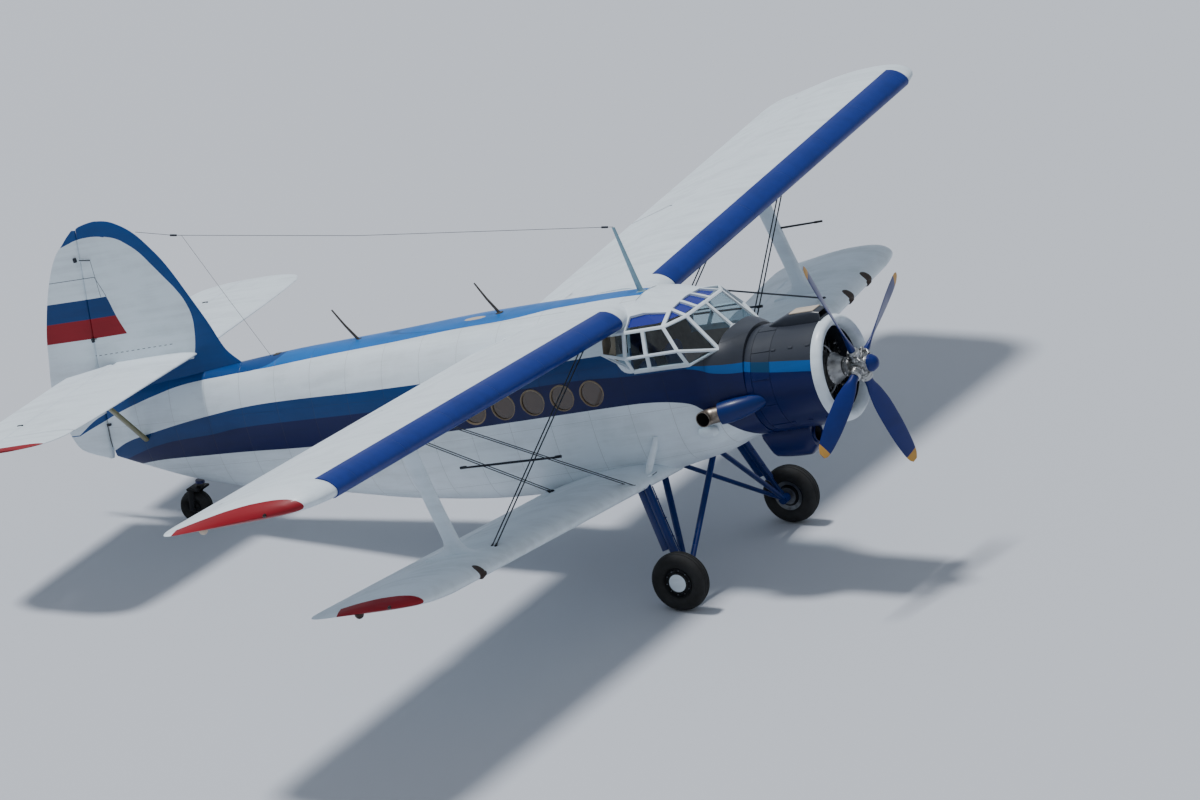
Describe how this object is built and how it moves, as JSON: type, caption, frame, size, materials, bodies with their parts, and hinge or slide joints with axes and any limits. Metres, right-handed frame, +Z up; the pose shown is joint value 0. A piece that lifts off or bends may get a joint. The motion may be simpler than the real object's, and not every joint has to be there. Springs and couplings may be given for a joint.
{
  "type": "single-engine utility biplane",
  "caption": "Large single-engine cabin biplane parked on its main gear and tail wheel, with a radial engine, braced wings, slats, flaps, glazed cockpit and cargo door.",
  "frame": {"origin": "bottom centre of the bounding box, on the floor that the tyres stand on", "axes": "+X towards the nose, +Y towards the left wing tips (port), +Z up"},
  "size_m": [12.7976, 18.157, 4.67],
  "materials": {
    "white_paint": "semi-gloss off-white enamel",
    "blue_paint": "gloss blue enamel",
    "navy_paint": "gloss navy enamel",
    "bare_steel": "dull bare steel",
    "engine_metal": "dark engine castings",
    "black_enamel": "matt black enamel",
    "seat_cover": "dark seat cover",
    "tyre_rubber": "worn black rubber",
    "window_glass": "clear window glass"
  },
  "bodies": {
    "airframe": {"forward_fuselage": "blue_paint", "cabin_roof": "white_paint", "cabin_belly": "white_paint", "cabin_wall_right": "white_paint", "cabin_wall_left": "white_paint", "tail_cone": "white_paint", "canopy_frame": "white_paint", "canopy_glass": "window_glass", "instrument_panel": "black_enamel", "seat_right": "seat_cover", "seat_left": "seat_cover", "control_columns": "black_enamel", "engine": "engine_metal", "engine_cowl": "navy_paint", "nose_ring": "white_paint", "oil_cooler": "navy_paint", "exhaust": "bare_steel", "upper_wing_right": "white_paint", "slat_right": "blue_paint", "lower_wing_right": "white_paint", "upper_wing_left": "white_paint", "slat_left": "blue_paint", "lower_wing_left": "white_paint", "interplane_strut_right": "white_paint", "flying_stay_front_right": "bare_steel", "landing_stay_right": "bare_steel", "shock_strut_right": "blue_paint", "gear_vee_right": "blue_paint", "interplane_strut_left": "white_paint", "flying_stay_front_left": "bare_steel", "landing_stay_left": "bare_steel", "shock_strut_left": "blue_paint", "gear_vee_left": "blue_paint", "tailplane": "white_paint", "fin": "white_paint", "tailplane_strut_right": "white_paint", "tailplane_strut_left": "white_paint", "tail_leg": "navy_paint", "antenna_mast": "white_paint"},
    "propeller": {"propeller_hub": "bare_steel", "propeller_blade_1": "blue_paint", "propeller_blade_2": "blue_paint", "propeller_blade_3": "blue_paint", "propeller_blade_4": "blue_paint"},
    "main_wheel_right": {"main_hub_right": "white_paint", "main_tyre_right": "tyre_rubber"},
    "main_wheel_left": {"main_hub_left": "white_paint", "main_tyre_left": "tyre_rubber"},
    "tail_fork": {"tail_fork": "navy_paint"},
    "tail_wheel": {"tail_wheel": "tyre_rubber"},
    "rudder": {"rudder": "white_paint"},
    "elevator_right": {"elevator_right": "white_paint"},
    "elevator_left": {"elevator_left": "white_paint"},
    "aileron_right": {"aileron_right": "white_paint"},
    "aileron_left": {"aileron_left": "white_paint"},
    "upper_flap_right": {"upper_flap_right": "white_paint"},
    "upper_flap_left": {"upper_flap_left": "white_paint"},
    "lower_flap_right": {"lower_flap_right": "white_paint"},
    "lower_flap_left": {"lower_flap_left": "white_paint"},
    "cargo_door": {"cargo_door": "white_paint"}
  },
  "joints": [
    {"name": "propeller_spin", "type": "hinge", "parent": "airframe", "child": "propeller", "pos_m": [6.0672, 0, 2.95794], "axis": [0.9794, 0, 0.2019], "continuous": true},
    {"name": "main_wheel_right_spin", "type": "hinge", "parent": "airframe", "child": "main_wheel_right", "pos_m": [3.99608, -1.68, 0.4], "axis": [0, 1, 0], "continuous": true},
    {"name": "main_wheel_left_spin", "type": "hinge", "parent": "airframe", "child": "main_wheel_left", "pos_m": [3.99608, 1.68, 0.4], "axis": [0, 1, 0], "continuous": true},
    {"name": "tail_wheel_swivel", "type": "hinge", "parent": "airframe", "child": "tail_fork", "pos_m": [-4.20047, 0, 0.5], "axis": [0, 0, 1], "range_deg": [-90, 90]},
    {"name": "tail_wheel_spin", "type": "hinge", "parent": "tail_fork", "child": "tail_wheel", "pos_m": [-4.29547, 0, 0.23521], "axis": [0, 1, 0], "continuous": true},
    {"name": "rudder_turn", "type": "hinge", "parent": "airframe", "child": "rudder", "pos_m": [-5.57719, 0, 1.27173], "axis": [-0.0456, 0, 0.999], "range_deg": [-28, 28]},
    {"name": "elevator_right_hinge", "type": "hinge", "parent": "airframe", "child": "elevator_right", "pos_m": [-5.31013, 0, 2.20489], "axis": [0, -1, 0], "range_deg": [-42.5, 22.5]},
    {"name": "elevator_left_hinge", "type": "hinge", "parent": "airframe", "child": "elevator_left", "pos_m": [-5.31013, 0, 2.20489], "axis": [0, -1, 0], "range_deg": [-42.5, 22.5]},
    {"name": "aileron_right_hinge", "type": "hinge", "parent": "airframe", "child": "aileron_right", "pos_m": [1.32424, -0.00265, 3.16238], "axis": [-0.0114, -0.9984, 0.0551], "range_deg": [-30, 14]},
    {"name": "aileron_left_hinge", "type": "hinge", "parent": "airframe", "child": "aileron_left", "pos_m": [1.32424, 0.00265, 3.16238], "axis": [0.0114, -0.9984, -0.0551], "range_deg": [-30, 14]},
    {"name": "upper_flap_right_hinge", "type": "hinge", "parent": "airframe", "child": "upper_flap_right", "pos_m": [1.32424, -0.00265, 3.16238], "axis": [-0.0114, -0.9984, 0.0551], "range_deg": [0, 40]},
    {"name": "upper_flap_left_hinge", "type": "hinge", "parent": "airframe", "child": "upper_flap_left", "pos_m": [1.32424, 0.00265, 3.16238], "axis": [0.0114, -0.9984, -0.0551], "range_deg": [0, 40]},
    {"name": "lower_flap_right_hinge", "type": "hinge", "parent": "airframe", "child": "lower_flap_right", "pos_m": [2.07032, 0.0011, 1.17081], "axis": [-0.0187, -0.9957, 0.0905], "range_deg": [0, 40]},
    {"name": "lower_flap_left_hinge", "type": "hinge", "parent": "airframe", "child": "lower_flap_left", "pos_m": [2.07032, -0.0011, 1.17081], "axis": [0.0187, -0.9957, -0.0905], "range_deg": [0, 40]},
    {"name": "cargo_door_hinge", "type": "hinge", "parent": "airframe", "child": "cargo_door", "pos_m": [0.69116, 0.8303, 2.66221], "axis": [0.9776, 0.0597, 0.2016], "range_deg": [0, 90]}
  ],
  "couplings": [
    {"joint": "elevator_left_hinge", "follows": "elevator_right_hinge", "ratio": 1},
    {"joint": "upper_flap_left_hinge", "follows": "upper_flap_right_hinge", "ratio": 1},
    {"joint": "lower_flap_right_hinge", "follows": "upper_flap_right_hinge", "ratio": 1},
    {"joint": "lower_flap_left_hinge", "follows": "upper_flap_right_hinge", "ratio": 1}
  ]
}
